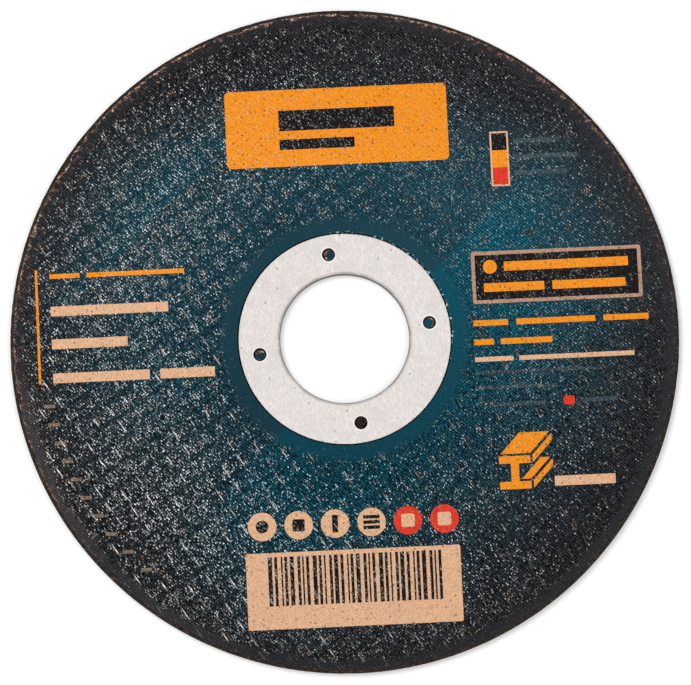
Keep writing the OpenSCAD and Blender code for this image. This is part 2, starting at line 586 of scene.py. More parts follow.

# %% [markdown]
# ## A grain for everything that is printed
# Paper and inks share one surface: hard grains and glass threads push through, and their tops are rubbed
# pale, with painted glints on them and painted shade in the lanes between threads. A drawn picture of worn
# paper could be laid on, but a pattern made by formula has no seams and stays sharp close up. It is built
# in steps, in the wheel's own millimetres, so that it runs on from paper to ink without a break. The first
# step says where on the wheel a point is, and whether the fabric shows there.

# %% Places on the wheel
def millimetres(w):
    """The place on the wheel in millimetres."""
    return w.scaled(w.node("TexCoord").outputs["Object"], 1 / MM)


def turned_by(w, place, angle):
    """A place in a frame that is turned about the wheel's axis."""
    return w.node("VectorRotate", {"Vector": place, "Angle": -angle}, rotation_type="Z_AXIS").outputs[0]


def places(w):
    """Where a point is: its radius and sides, calm parts of the print, and the zone where fabric shows."""
    p = SimpleNamespace()
    p.flat = w.vector("MULTIPLY", millimetres(w), (1, 1, 0))
    p.radius = w.measure("LENGTH", p.flat)
    p.x, p.y, _ = w.axes(p.flat)
    p.far = w.line(p.y, 0.35, p.x)
    p.low_left = w.times(w.fall(p.y, -26, -4), w.fall(p.x, -36, -14))
    p.calm = w.times(w.span(p.x, -20, 26, 0.26, 0.4), w.span(p.y, -4, 12), w.fall(p.y, 28, 46))
    inner = w.span(p.radius, SMOOTH_MIDDLE_R - 1.4, SMOOTH_MIDDLE_R + 0.6)
    ragged = w.plus(p.radius, w.span(w.noise(p.flat, 0.5, 2.0), 0.3, 0.7, -0.5, 0.5))
    p.zone = w.times(inner, w.span(ragged, wheel_r - 2.7, wheel_r - 1.8, 1.0, 0.12))
    return p


print(f"fabric shows from radius {SMOOTH_MIDDLE_R} to {wheel_r - SMOOTH_RIM_W} mm")

# %% [markdown]
# ### Cells of the fabric
# The threads divide the paper into square cells, each with a crossing of two threads in its middle. A cell
# gets lucky numbers of its own, lanes of painted shade along its sides, where the paper dips between
# threads, and a patch on the crossing, where the paper is pressed hardest. Noise shakes the grid a little,
# as no pressed fabric lies quite straight.

# %% Cells of the fabric
def cells_of(w, place):
    """A place counted in cells: whole numbers lie midway between two threads."""
    return w.vector("ADD", w.vector("DIVIDE", place, (FACE_PITCH,) * 3), HALF)


def weave(w, p):
    """The shaken grid, each cell's luck, the painted shade of the lanes between threads and the patches on
    crossings.
    """
    threads = turned_by(w, p.flat, FACE_TURN)
    shake = w.node("TexNoise", {"Vector": p.flat, "Scale": 2.2, "Detail": 2.0}).outputs["Color"]
    shake = w.vector("SUBTRACT", shake, HALF)
    p.along = w.vector("MULTIPLY_ADD", shake, (0.45, 0.6, 0), threads)
    p.nearly = w.vector("MULTIPLY_ADD", shake, (0.09, 0.12, 0), threads)
    p.grain = w.noise(p.along, 3.4, 3.0, 0.6)
    p.cell = cells_of(w, p.along)
    p.luck = w.node("TexWhiteNoise", {"Vector": w.vector("FLOOR", p.cell)}, noise_dimensions="3D").outputs
    p.own = w.axes(p.luck["Color"])
    inside = w.vector("SUBTRACT", w.vector("FRACTION", p.cell), HALF)
    apart_x, apart_y, _ = w.axes(w.vector("ABSOLUTE", inside))
    # Painted shade in the lanes where the paper dips between threads.
    lane = w.math("MAXIMUM", w.span(apart_y, 0.39, 0.47), w.span(apart_x, 0.37, 0.47, 0.0, 0.6))
    p.lane = w.times(lane, w.span(p.x, -15, 20, 0.62, 0.42))
    wander = w.span(w.noise(p.flat, 1.2, 1.0), 0.3, 0.7, -0.1, 0.1)
    from_crossing = w.plus(w.measure("LENGTH", inside), wander)
    p.patch = w.fall(from_crossing, 0.2, 0.5)
    p.bare = w.times(w.fall(from_crossing, 0.1, 0.34), w.span(p.own["X"], 0.5, 0.8), p.zone)


print(f"cells of {FACE_PITCH} mm, turned by {math.degrees(FACE_TURN):.0f} degrees")

# %% [markdown]
# ### Specks
# Where the top of a grain is rubbed through, a pale speck is left, and the specks also stand in for painted
# glints. Specks crowd on the crossings, thin out towards ring and rim, and are fainter at the right and
# along the bottom, where less light glances off. Between them each grain has a tone of its own, with
# painted shade in the lanes between threads. They could be scattered as small discs, but one random cell
# for each grain
# does it all: its distance shapes the speck, and its numbers make it pale, bright or dark.

# %% Specks and tones
def grains(w, place, width, length, randomness=1.0):
    """One grain to a cell: the distance to its middle, and three lucky numbers of its own."""
    ends = {"Vector": w.vector("DIVIDE", place, (width, length, 1)), "Scale": 1.0, "Randomness": randomness}
    cells = w.node("TexVoronoi", ends, voronoi_dimensions="2D")
    lucks = w.node("SeparateColor", {0: cells.outputs["Color"]}).outputs
    return cells.outputs["Distance"], lucks[0], lucks[1], lucks[2]


def dots(w, place, width, length, edge):
    """Scattered dots, one to a cell: how far inside a dot a point is, and the dot's own luck."""
    distance, luck, _, _ = grains(w, place, width, length)
    return w.fall(distance, 0.3 * edge, edge), luck


def speck_density(w, p):
    """The share of grains that are rubbed pale."""
    share = w.line(p.x, -0.0024, 0.41)
    share = w.line(p.calm, 0.2, share)
    share = w.line(p.y, 0.0004, share)
    uneven = w.span(w.noise(p.flat, 0.09, 2.0), 0.3, 0.7, -0.07, 0.07)
    share = w.plus(share, w.span(p.y, -50, -36, 0.32, 0.0), uneven)
    share = w.times(share, w.span(p.radius, 21, 34, 0.66, 1.0), w.span(p.radius, 40, wheel_r, 1.0, 0.65))
    gathered = w.times(w.span(p.radius, 24, 36, 0.5, 0.2), w.line(p.patch, 1.6, -1.0))
    return w.times(share, w.plus(gathered, 1.0))


def specks_and_tones(w, p):
    """Pale specks, partly wear and partly painted glints, and the tone of the print from grain to grain,
    with painted shade, darker round each speck.
    """
    density = speck_density(w, p)
    from_grain, pale_luck, bright_luck, dark_luck = grains(w, p.nearly, 0.18, 0.42, 0.45)
    hit = w.span(pale_luck, w.rest(density), w.line(density, -0.4, 1.0))
    rarity = w.plus(
        w.line(p.x, 0.014, 2.0),
        w.span(p.radius, 40, 54),
        w.times(w.span(p.y, -34, -14, 1.3, 0.0), w.span(p.x, -12, 8)),
        w.span(w.math("SUBTRACT", p.y, p.x), 20, 70, 0.0, 0.8),
        w.span(p.y, 38, 48, 0.0, 0.5),
    )
    fine = w.times(hit, w.line(w.math("POWER", bright_luck, rarity), 0.92, 0.08))
    halo = w.line(w.math("SQRT", fine), -0.9, 1.0)
    fine = w.times(fine, w.fall(from_grain, 0.29, 0.48))
    large, large_luck = dots(w, p.nearly, 0.42, 0.8, 0.2)
    large = w.times(large, w.span(w.plus(large_luck, density), 1.1, 1.3))
    # Pale specks: partly rubbed wear, partly painted glints.
    p.specks = w.times(
        w.math("MAXIMUM", fine, large),
        p.zone,
        w.rest(p.lane),
        w.span(p.y, -52, -36, 0.52, 1.0),
        w.span(p.far, -5, 24, 1.0, 0.64),
        w.span(p.y, -30, -8, 1.15, 1.0),
    )
    # The tone is partly each grain's own and partly painted shade, darkest in the lanes between threads.
    lit = w.times(
        w.line(w.math("POWER", dark_luck, 1.3), -0.92, 1.0),
        w.span(from_grain, 0.2, 0.55, 2.5, 0.45),
        w.line(p.lane, -0.4, 1.0),
        w.line(p.patch, -0.25, 1.0),
        halo,
        w.span(p.y, -36, 2, 0.76, 1.0),
        w.span(p.y, -54, -44, 1.15, 1.0),
    )
    lit = w.math("MAXIMUM", w.line(p.low_left, -0.12, lit), 0.05)
    lit = w.line(w.rest(lit), p.calm, lit)
    p.tone = w.line(w.math("SUBTRACT", lit, 1.0), p.zone, 1.0)


print("specks: fine grains and a few large ones, each with its own tone")

# %% [markdown]
# ### Thread tops and brown flecks
# A glass thread that lies high carries a painted glint, a short pale streak, one to a cell and strongest at
# the left.
# Where the printed skin has come off, brown paper shows, most of all near the rim and the ring. With that
# the pattern is whole, and its height is the sum of grain, specks and streaks.

# %% Thread tops and brown flecks
def painted_thread_glints(w, p):
    """One short thin painted glint to a cell, of its own length and place."""
    drift = w.vector("MULTIPLY", w.vector("SUBTRACT", p.luck["Color"], HALF), (0.26, 0.2, 0))
    straight = w.vector("SUBTRACT", cells_of(w, p.nearly), w.vector("FLOOR", p.cell))
    straight = w.vector("SUBTRACT", straight, HALF)
    aside, onward, _ = w.axes(w.vector("ABSOLUTE", w.vector("ADD", straight, drift)))
    thin = w.fall(aside, 0.01, 0.038)
    long = w.fall(onward, 0.1, w.line(p.own["Z"], 0.26, 0.24))
    # Painted glints: strongest towards the left, where the light falls.
    toward_light = w.line(p.y, -0.004, w.line(p.x, -0.014, 0.28))
    strength = w.times(
        w.span(p.luck["Value"], 0.15, 0.85, 0.05, 1.0),
        w.span(p.grain, 0.32, 0.52),
        w.span(toward_light, 0.0, 1.0, 0.1, 1.0),
        w.span(p.y, -6, 16, 1.0, 0.3),
    )
    p.streaks = w.times(w.times(thin, long), w.times(strength, p.zone))


def brown_flecks(w, p):
    """Where specks are warm, and where brown paper shows."""
    warm = w.plus(w.noise(p.flat, 0.6, 3.0), w.span(p.radius, 44, 55, 0.0, 0.09))
    p.warm = w.span(warm, 0.54, 0.72)
    near_rim = w.span(p.radius, wheel_r - 6, wheel_r - 0.8, 0.0, w.span(p.x, -52, -30, 0.13, 0.09))
    near_rim = w.times(near_rim, w.span(p.y, -24, -8, 0.5, 1.0))
    near_ring = w.span(p.radius, SMOOTH_MIDDLE_R, SMOOTH_MIDDLE_R + 4, 0.05, 0.0)
    blotch = w.plus(w.noise(p.flat, 1.4, 4.0, 0.7), w.plus(near_rim, near_ring))
    p.brown = w.span(blotch, 0.67, 0.75)


def worn_and_lit_pattern(w):
    """Sockets with the whole pattern of the pressed paper, painted glints and painted shade included."""
    p = places(w)
    for step in (weave, specks_and_tones, painted_thread_glints, brown_flecks):
        step(w, p)
    p.height = w.plus(w.times(p.grain, p.zone), w.plus(p.specks, p.streaks))
    return p


print("worn pattern: grains, specks, thread streaks, lanes and brown flecks")

# %% [markdown]
# ### Wear and painted glints on a colour
# Every printed finish starts from a plain colour. The tone of the grains, with its painted shade, goes over
# it first, then brown flecks, and the specks and streaks last, as they are the highest spots and lie over
# everything else. The streaks are painted glints, and the specks are partly painted glints.
# The paper is dull, so it gets hardly any gloss and only shallow bumps.

# %% Wear and glints on a colour
PALE_WEAR_AND_GLINT = rgb(248, 251, 252)
WARM_WEAR_AND_GLINT = rgb(222, 192, 174)
THREAD_GLINT = rgb(246, 249, 248)
BROWN_PAPER = rgb(126, 92, 76)


def wear_and_glints(w, p, colour, speck_and_glint_share=1.0, glint_streak_share=1.0, brown_share=0.6, pale=PALE_WEAR_AND_GLINT):
    """A colour with brown flecks worn into it, pale specks that are partly wear and partly painted glints,
    and painted glints on the thread tops.
    """
    colour = w.mix(w.times(p.brown, brown_share), colour, BROWN_PAPER)
    colour = w.mix(w.times(p.specks, speck_and_glint_share), colour, w.mix(p.warm, pale, WARM_WEAR_AND_GLINT))
    return w.mix(w.times(p.streaks, glint_streak_share), colour, THREAD_GLINT)


def toned(w, colour, p, share=1.0):
    """A colour made lighter and darker from grain to grain, partly by painted shade in the lanes between
    threads.
    """
    return w.scaled(colour, w.line(w.math("SUBTRACT", p.tone, 1.0), share, 1.0))


def add_bumps(w, shader, height, strength, depth):
    """Fine bumps in the shading, with a depth in millimetres."""
    bump = w.node("Bump", {"Strength": strength, "Distance": depth * MM, "Height": height})
    w.feed(shader.inputs["Normal"], bump.outputs[0])


def press(w, shader, p, roughness, depth=0.05):
    """Dull gloss and fine bumps of pressed paper."""
    w.feed(shader.inputs["Roughness"], w.line(p.grain, 0.3, roughness - 0.15))
    shader.inputs["Specular IOR Level"].default_value = 0.04
    add_bumps(w, shader, p.height, 0.4, depth)


print("wear goes on as brown, specks and streaks")

# %% [markdown]
# ## The label's ground
# The print goes from charcoal at the rim to teal round the ring, with two slanting edges of light across
# it. Such fades could be painted, but two curves are enough: one by the distance from the middle and one
# by the distance across the slanting edges. Towards the lower left the ground is greyer, and bare crossings
# are brown.

# %% Colour of the ground
CHARCOAL = rgb(44, 44, 47)
TEAL = rgb(0, 90, 109)
SLANT = math.radians(44)
FADE_REACH = 60.0
GLOW_STOPS = [(0.3, 0.9), (0.42, 0.9), (0.5, 0.93), (0.6, 0.8), (0.75, 0.45), (0.87, 0.12), (0.95, 0.0)]
BAND_STOPS = [
    (0.0, 0.0), (0.22, 0.45), (0.33, 0.8), (0.472, 0.86),
    (0.477, 0.52), (0.815, 0.52), (0.82, 1.0), (1.0, 0.85),
]
label_finish, w, shader = new_finish("printed paper")
p = worn_and_lit_pattern(w)
glow = w.curve(w.math("DIVIDE", p.radius, FADE_REACH), GLOW_STOPS)
across = w.axes(turned_by(w, p.flat, SLANT))["Y"]
bands = w.curve(w.line(across, 0.5 / FADE_REACH, 0.5), BAND_STOPS)
teal_share = w.times(glow, bands, w.span(p.y, 30, 48, 1.0, 0.1))
ground = w.mix(teal_share, CHARCOAL, TEAL)
ground = w.mix(w.times(p.low_left, 0.45), ground, rgb(66, 66, 68))
ground = w.mix(w.times(p.bare, 0.5), ground, rgb(60, 48, 44))
print("ground from charcoal to teal within", FADE_REACH, "mm")

# %% [markdown]
# ### Wear and press lines
# The ground is cloudy with the grain, and a painted sheen lightens one stretch of the rim at the left. Then
# the worn and shaded pattern goes on, its specks and painted glints tinted where the ground is teal. Fine
# slanting lines from the press run through all of it: a sine across them is enough, deeper on the rough
# paper than in the smooth middle.

# %% Wear of the label
TEAL_WEAR_AND_GLINT = rgb(184, 240, 255)
SHEEN_PLACE = (-52, -19, 0)
LINES_TURN = math.radians(51)
LINES_PITCH = 0.46
in_middle = w.span(p.y, -15, 10, 0.78, 0.95)
in_middle = w.span(p.radius, *MIDDLE_EDGE, in_middle, 1.0)
cloudy = w.times(w.span(p.grain, 0.3, 0.7, 0.56, 1.0), w.span(p.far, -5, 40, 1.0, 1.25), in_middle)
ground = w.scaled(ground, cloudy)
# A painted sheen lightens the smooth rim band at the left.
rim_sheen = w.fall(w.measure("DISTANCE", p.flat, SHEEN_PLACE), 8, 20)
rim_sheen = w.times(rim_sheen, w.span(p.radius, wheel_r - 5, wheel_r - 2.5))
ground = w.mix(rim_sheen, ground, rgb(60, 57, 58))
tint = w.times(teal_share, w.span(p.x, -30, 10, 0.6, 1.4))
ground = wear_and_glints(w, p, toned(w, ground, p), pale=w.mix(tint, PALE_WEAR_AND_GLINT, TEAL_WEAR_AND_GLINT))
across_lines = w.axes(turned_by(w, p.flat, LINES_TURN))["X"]
lines = w.math("SINE", w.times(across_lines, 2 * math.pi / LINES_PITCH))
depth = w.span(w.noise(p.flat, 0.8, 3.0, 0.6), 0.35, 0.65, 0.2, 0.5)
depth = w.times(depth, w.span(p.radius, SMOOTH_MIDDLE_R - 1, SMOOTH_MIDDLE_R + 3, 0.27, 1.0))
ground = w.scaled(ground, w.rest(w.times(depth, lines)))
print("press lines", LINES_PITCH, "mm apart")

# %% [markdown]
# ### Edges of the label
# Along the rim the skin frays into brown and pale flecks, most at the top left. At the ring painted shade
# darkens the crevice round the flange, and here and there a painted highlight glints beside it. All three
# follow the radius, broken up by noise, which costs no faces.

# %% Edges of the label
def bare_side(w, place):
    """How bare the rim is: most at the top left, least at the bottom right."""
    return w.span(w.measure("DOT_PRODUCT", place, (BARE_LEAN, 1, 0)), *BARE_SPAN, 0.06, 1.0)


fray = w.plus(p.radius, w.span(w.noise(p.flat, 0.7, 2.0), 0.3, 0.7, -0.5, 0.4))
fray = w.span(fray, wheel_r - 1.2, wheel_r - 0.45)
fray = w.times(fray, w.span(w.noise(p.flat, 3.0, 2.0, 0.6), 0.45, 0.58), bare_side(w, p.flat))
pale_fray = w.span(w.noise(p.flat, 2.2, 2.0), 0.45, 0.62)
ground = w.mix(fray, ground, w.mix(pale_fray, rgb(128, 94, 78), rgb(218, 192, 172)))
# Painted shade darkens the crevice round the flange.
crevice_shade = w.fall(p.radius, seat_r - 0.05, seat_r + 0.08)
crevice_shade = w.times(crevice_shade, w.span(p.radius, flange_r - 0.5, flange_r - 0.2))
ground = w.mix(crevice_shade, ground, rgb(7, 9, 10))
# Painted glints beside the crevice, most at the upper right.
edge_glints = w.noise(p.flat, 1.7, 3.0, 0.7)
edge_glints = w.times(edge_glints, w.span(p.x, -12, 8, 0.8, 1.0), w.span(p.y, -10, 2, 0.8, 1.0))
edge_glints = w.times(w.span(edge_glints, 0.56, 0.62), w.fall(p.radius, seat_r + 0.1, seat_r + 0.4))
edge_glints = w.times(edge_glints, w.span(p.radius, flange_r - 0.2, flange_r + 0.1))
w.feed(shader.inputs["Base Color"], w.mix(edge_glints, ground, rgb(196, 208, 210)))
press(w, shader, p, 0.5)
print("finish:", label_finish.name)

# %% [markdown]
# ### Torn paper
# Where the sheet is torn its brown fibres show. Single hairs could be modelled, but at this size noise of
# two sizes gives the same dark gaps and pale strands. At the rim the tear is darker on the side that is
# less bare, and deep in the anchors' holes painted shade makes it nearly black, so the colour goes by
# height too.

# %% Finish of torn paper
torn_finish, w, shader = new_finish("torn brown paper")
place = millimetres(w)
fibres = w.noise(place, 3.0, 4.0, 0.7)
paper = w.mix(w.span(fibres, 0.4, 0.6), rgb(36, 28, 26), rgb(142, 100, 80))
paper = w.mix(w.span(w.noise(place, 2.3, 2.0), 0.52, 0.66, 0.0, 0.9), paper, rgb(222, 190, 168))
paper_at_rim = w.mix(bare_side(w, place), rgb(44, 39, 38), paper)
height = w.axes(place)["Z"]
# Painted shade: nearly black low down in the anchors' holes.
hole_shade = w.mix(w.span(fibres, 0.42, 0.62), rgb(14, 11, 10), rgb(66, 50, 42))
shaded_in_hole = w.mix(w.span(height, seat_z + 0.6 * paper_t, seat_z + 0.8 * paper_t), hole_shade, paper)
paper = w.mix(w.span(height, body_top - 0.05, body_top - 0.03), shaded_in_hole, paper_at_rim)
w.feed(shader.inputs["Base Color"], paper)
shader.inputs["Roughness"].default_value = 0.9
shader.inputs["Specular IOR Level"].default_value = 0.1
add_bumps(w, shader, fibres, 0.6, 0.06)
print("finish:", torn_finish.name)

# %% [markdown]
# ## Label under the ring
# Under the flange the label is plain, with the four round slots of the anchors. What the lips punched out
# stays in the holes as small plugs. Painted shade darkens their sunken edges, their print is torn on one
# side, and one is torn to bare fibres and lies a little deeper, in darker painted shade. Plain discs would
# look too clean, so each plug is a small turned piece whose printed top is drawn in where it is torn.

# %% Label under the flange
PLUG_STEPS = 48
PLUG_EDGE = 0.84
# For each plug: its torn side in degrees, the share of its radius that is torn, and how deep it is sunk.
PLUG_TEARS = [(0, 0.3, 0.0), (170, 0.5, 0.0), (100, 0.45, 0.0), (60, 0.5, 0.05)]
label_bore_r = bore_r + sheet_t + BEND_INSIDE + SEAT_GAP
paper_z = seat_z + paper_t


def capped(name, rings):
    """A closed piece from rings on top of each other, with a flat lid at each end."""
    count, steps = len(rings), len(rings[0])
    faces = [tuple(range(steps)), tuple(range((count - 1) * steps, count * steps))]
    for i in range(count - 1):
        for j in range(steps):
            beside = (j + 1) % steps
            faces.append((i * steps + j, i * steps + beside, (i + 1) * steps + beside, (i + 1) * steps + j))
    return new_piece(name, np.concatenate(rings), faces)


def plug(place, torn_side, torn_most, sunk):
    """One punched plug: an edge in painted shade, and its print torn away on one side, or wholly where it
    is sunk.
    """
    angle = np.linspace(0, 2 * math.pi, PLUG_STEPS, endpoint=False)
    towards_tear = np.cos(angle - math.radians(torn_side))
    torn_share = smooth(towards_tear, -0.1, 0.8) * (0.8 + 0.2 * np.cos(5 * angle))
    print_r = plug_r * (PLUG_EDGE - 0.04 - torn_most * torn_share)
    top = paper_z - sunk
    levels = [(plug_r, seat_z), (plug_r, top - 0.045), (PLUG_EDGE * plug_r, top - 0.035), (print_r, top)]
    piece = capped("plug", [ring_of(r, z, PLUG_STEPS, place) for r, z in levels])
    piece.data.materials.append(label_finish)
    piece.data.materials.append(torn_finish)
    for face in piece.data.polygons:
        face.material_index = 0 if face.normal.z > 0.999 and not sunk else 1
    return piece


under_section = [(label_bore_r, seat_z), (step_r, seat_z), (step_r, paper_z), (label_bore_r, paper_z)]
under = turned("under", under_section)
for place in anchor_places:
    hole_rings = [ring_of(slot_r, z, PLUG_STEPS, place) for z in (seat_z - CUT_SPARE, paper_z + CUT_SPARE)]
    cut_away(under, [capped("hole", hole_rings)])
under.data.materials.append(label_finish)
label.data.materials.append(label_finish)
label.data.materials.append(torn_finish)
label.data.polygons.foreach_set("material_index", torn)
plugs = [plug(place, *tear) for place, tear in zip(anchor_places, PLUG_TEARS)]
label = join("label_sheet", [label, under, *plugs])
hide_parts("printed_label")
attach(label, "root")
print("label:", len(label.data.polygons), "faces with", [m.name for m in label.data.materials])

# %% [markdown]
# ## The inks
# Fields of colour are printed over the ground. They could be painted into the label's material, but ink is
# a real film with a real edge, and as thin pieces the fields stay sharp at any distance. Each outline is
# filled with small triangles, so that the film can follow every thread under it.

# %% A film of ink
INK_T = 0.012
INK_STEP = 0.5


def outline_points(outline):
    """An outline with extra points, so that no stretch is longer than the ink's step."""
    points = []
    for (ax, ay), (bx, by) in zip(outline, outline[1:] + outline[:1]):
        count = max(1, math.ceil(math.dist((ax, ay), (bx, by)) / INK_STEP))
        points += [(ax + (bx - ax) * k / count, ay + (by - ay) * k / count) for k in range(count)]
    return points


def filled(outline):
    """Points and triangles that fill an outline."""
    edge = outline_points(outline)
    xs, ys = zip(*edge)
    grid = [
        (x, y)
        for x in np.arange(min(xs) + INK_STEP / 2, max(xs), INK_STEP)
        for y in np.arange(min(ys) + INK_STEP / 2, max(ys), INK_STEP)
    ]
    made = delaunay_2d_cdt([Vector(p) for p in edge + grid], [], [list(range(len(edge)))], 1, 1e-5)
    return [tuple(p) for p in made[0]], [tuple(f) for f in made[2]]


def ink_film(name, outlines, finish, layer=1):
    """One piece of ink: a thin closed film over each outline, laid on the paper's relief."""
    points, faces = [], []
    for outline in outlines:
        flat, triangles = filled(outline)
        x, y = np.array(flat).T
        ground = face_height(x, y)
        first, count = len(points), len(flat)
        points += np.stack([x, y, ground + layer * INK_T], axis=-1).tolist()
        points += np.stack([x, y, ground - 0.5 * INK_T], axis=-1).tolist()
        used = {}
        for triangle in triangles:
            for a, b in zip(triangle, triangle[1:] + triangle[:1]):
                used[(a, b)] = True
            faces.append(tuple(first + p for p in triangle))
            faces.append(tuple(first + count + p for p in reversed(triangle)))
        for a, b in used:
            if (b, a) not in used:
                faces.append((first + b, first + a, first + count + a, first + count + b))
    film = new_piece(name, points, faces)
    film.data.materials.append(finish)
    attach(film, "root")
    print(name, len(faces), "faces")


print("ink is", INK_T, "mm thick")

# %% [markdown]
# ### Colours of the inks
# An ink's colour wavers a little and wears like the paper, with the same painted glints and painted shade.
# It also has flaws of its own: dark spots, fine points and long scratches. All three are scattered dots of
# different sizes, so one table lists them. Each ink says how much of every kind of wear and painted glint
# it
# takes: dark inks show no dirt, faded ones show more tone.

# %% Colours of the inks
INK_WEAR_AND_GLINT = rgb(255, 234, 204)
INK_FLAW = rgb(66, 42, 32)
SCRATCH_TURN = math.radians(38)
# For each flaw: turn, cell width, cell length, edge of the dot, range of luck that shows it, and strength.
INK_FLAWS = [
    (0, 0.8, 0.9, 0.3, 0.7, 0.95, 1.0),
    (0, 0.3, 0.36, 0.45, 0.4, 1.0, 0.7),
    (SCRATCH_TURN, 0.7, 5.0, 0.12, 0.9, 0.95, 1.0),
]


def ink_finish(name, colour, speck_and_glint_share, glint_streak_share, dirt, tone_share, pale=INK_WEAR_AND_GLINT):
    """An ink whose colour wavers, with the paper's wear, painted glints and painted shade, and dark flaws.
    """
    finish, w, shader = new_finish(name)
    p = worn_and_lit_pattern(w)
    waver = w.span(w.noise(p.flat, 2.4, 4.0, 0.7), 0.35, 0.7, 0.0, 0.5)
    darker = tuple(c * 0.7 for c in colour[:3]) + (1.0,)
    inked = toned(w, w.mix(waver, colour, darker), p, tone_share)
    flaws = 0.0
    for turn, width, length, edge, rare, sure, most in INK_FLAWS:
        flaw, luck = dots(w, turned_by(w, p.flat, turn), width, length, edge)
        flaws = w.math("MAXIMUM", flaws, w.times(flaw, w.span(luck, rare, sure, 0.0, most)))
    inked = w.mix(w.times(flaws, dirt), inked, INK_FLAW)
    w.feed(shader.inputs["Base Color"], wear_and_glints(w, p, inked, speck_and_glint_share, glint_streak_share, 0.3, pale))
    press(w, shader, p, 0.48, 0.035)
    return finish


ORANGE = ink_finish("orange ink", rgb(253, 152, 34), 0.5, 0.3, 0.7, 0.12)
SAND = ink_finish("sand ink", rgb(238, 188, 149), 0.35, 0.25, 0.7, 0.16)
DULL_SAND = ink_finish("dull sand ink", rgb(196, 154, 128), 0.5, 0.5, 0.8, 0.35)
FADED_SAND = ink_finish("faded sand ink", rgb(146, 126, 111), 0.5, 0.5, 0.8, 0.5)
BLACK = ink_finish("black ink", rgb(30, 28, 29), 0.6, 0.5, 0.0, 0.7, PALE_WEAR_AND_GLINT)
RED = ink_finish("red ink", rgb(231, 62, 43), 0.35, 0.3, 0.7, 0.14)
GREY = ink_finish("grey ink", rgb(66, 84, 92), 0.8, 0.8, 0.0, 0.7, PALE_WEAR_AND_GLINT)
print("inks:", [ink.name for ink in (ORANGE, SAND, DULL_SAND, FADED_SAND, BLACK, RED, GREY)])

# %% [markdown]
# ## Fields of the print
# Each block of the label keeps its place, size and colour as a plain field: a title plate with two dark
# bars, bars for lines of print, a dark size box with a frame, six round spots and a pale panel with
# upright stripes. Nothing on it can be read. Four kinds of outline are enough for nearly all of them.

# %% Plain outlines
def bar(x, y, width, height):
    """A plain bar whose left end is at x and whose middle line is at y."""
    low, high = y - height / 2, y + height / 2
    return [(x, low), (x + width, low), (x + width, high), (x, high)]


def row(x, y, height, *stretches):
    """Bars on one line: each stretch is its distance from x and its width."""
    return [bar(x + gap, y, width, height) for gap, width in stretches]


def round_box(x, y, width, height, corner, steps=6):
    """A rectangle about a middle point, with rounded corners."""
    points = []
    for side_x, side_y, start in ((1, 1, 0), (-1, 1, 90), (-1, -1, 180), (1, -1, 270)):
        for k in range(steps + 1):
            a = math.radians(start + 90 * k / steps)
            points.append((
                x + side_x * (width / 2 - corner) + corner * math.cos(a),
                y + side_y * (height / 2 - corner) + corner * math.sin(a),
            ))
    return points


def dot(x, y, r, steps=40):
    """A round spot."""
    turns = [2 * math.pi * k / steps for k in range(steps)]
    return [(x + r * math.cos(turn), y + r * math.sin(turn)) for turn in turns]


print("outlines: bar, row of bars, round box and dot")

# %% Title plate and spots
PLATE_X, PLATE_Y, PLATE_W, PLATE_H = 0.3, 37.15, 38.4, 13.5
plate = [round_box(PLATE_X, PLATE_Y, PLATE_W, PLATE_H, 0.8)]
plate_bars = [bar(PLATE_X - 10.0, PLATE_Y + 1.3, 20.0, 3.6), bar(PLATE_X - 10.0, PLATE_Y - 2.9, 13.0, 1.8)]
SPOT_R, SPOT_Y, SPOT_STEP = 2.45, -31.8, 6.24
spots = [(SPOT_STEP * (k - 2.5), SPOT_Y) for k in range(6)]
pale_spots = [dot(x, y, SPOT_R) for x, y in spots[:4]]
red_spots = [dot(x, y, SPOT_R) for x, y in spots[4:]]
spot_marks = [dot(spots[0][0], SPOT_Y, 1.1, 24)]
spot_marks += [round_box(spots[1][0], SPOT_Y, 2.1, 2.1, 0.3)]
spot_marks += [bar(spots[2][0] - 0.5, SPOT_Y, 1.0, 3.0)]
spot_marks += [bar(spots[3][0] - 1.4, SPOT_Y + dy, 2.8, 0.6) for dy in (-0.9, 0, 0.9)]
red_cores = [round_box(x, y, 2.3, 2.3, 0.4) for x, y in spots[4:]]
print("a plate of", PLATE_W, "by", PLATE_H, "mm and", len(spots), "spots")

# %% Lines of print
LEFT_X = -50.3
RIGHT_X = 22.2
HINT_X = 30.7
rule = [bar(-52.8, 4.4, 0.42, 19.8)]
left_orange = row(LEFT_X, 13.1, 0.8, (0, 5.2), (6.4, 16.8))
left_sand = row(LEFT_X, 7.0, 1.7, (0, 20.2))
left_sand += row(LEFT_X, 1.3, 1.7, (0, 13.0))
left_sand += row(LEFT_X, -4.6, 1.7, (0, 16.6), (18.4, 9.4))
right_orange = row(RIGHT_X, 1.6, 1.0, (0, 6.0), (7.4, 13.6), (22.4, 7.8))
right_orange += row(RIGHT_X, -1.7, 1.0, (0, 3.4), (4.6, 8.8))
right_sand = row(RIGHT_X, -4.7, 0.8, (0, 6.6), (7.6, 19.8))
right_grey = row(RIGHT_X, -7.0, 0.6, (0, 21.0))
right_grey += row(RIGHT_X, -9.6, 0.6, (0, 14.0))
right_grey += row(RIGHT_X, -12.6, 0.7, (2.2, 9.6))
right_grey += row(RIGHT_X, -12.4, 0.7, (17.8, 6.4))
right_grey += [bar(HINT_X, y, width, 0.8) for y, width in ((33.1, 8.0), (30.3, 11.0), (27.5, 9.0))]
right_red = [round_box(RIGHT_X + 15.8, -12.4, 1.9, 1.5, 0.3)]
word_bar = [bar(34.8, -26.2, 10.4, 1.7)]
print("bars:", len(left_orange + left_sand), "left,", len(right_orange + right_sand + right_grey), "right")

